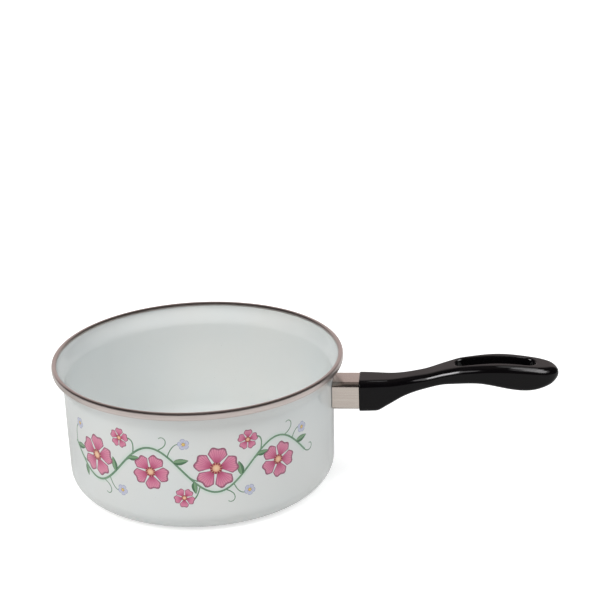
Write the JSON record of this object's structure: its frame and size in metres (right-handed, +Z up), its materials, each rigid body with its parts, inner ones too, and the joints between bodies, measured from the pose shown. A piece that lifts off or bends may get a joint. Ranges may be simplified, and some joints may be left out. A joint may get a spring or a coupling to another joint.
{
  "type": "enamel saucepan",
  "caption": "Round enamelled steel saucepan with a rolled stainless rim band, a stainless ferrule and a curved black moulded handle with a hanging slot.",
  "frame": {"origin": "centre of the base, on the surface that the pan stands on", "axes": "+X from the pan's axis along the handle to its tip, +Z up along the pan's axis, +Y across the handle so that the frame is right-handed"},
  "size_m": [0.372, 0.215, 0.0977],
  "materials": {
    "enamel": "gloss",
    "stainless": "polished",
    "phenolic": "gloss",
    "bare_steel": "satin",
    "zinc_plate": "satin"
  },
  "bodies": {
    "root": {"pan_body": "enamel", "rim_band": "stainless", "ferrule": "stainless", "handle_grip": "phenolic", "handle_bracket": "bare_steel", "bracket_nut": "bare_steel", "handle_screw": "zinc_plate", "spring_washer": "zinc_plate", "plain_washer": "zinc_plate"}
  },
  "joints": []
}
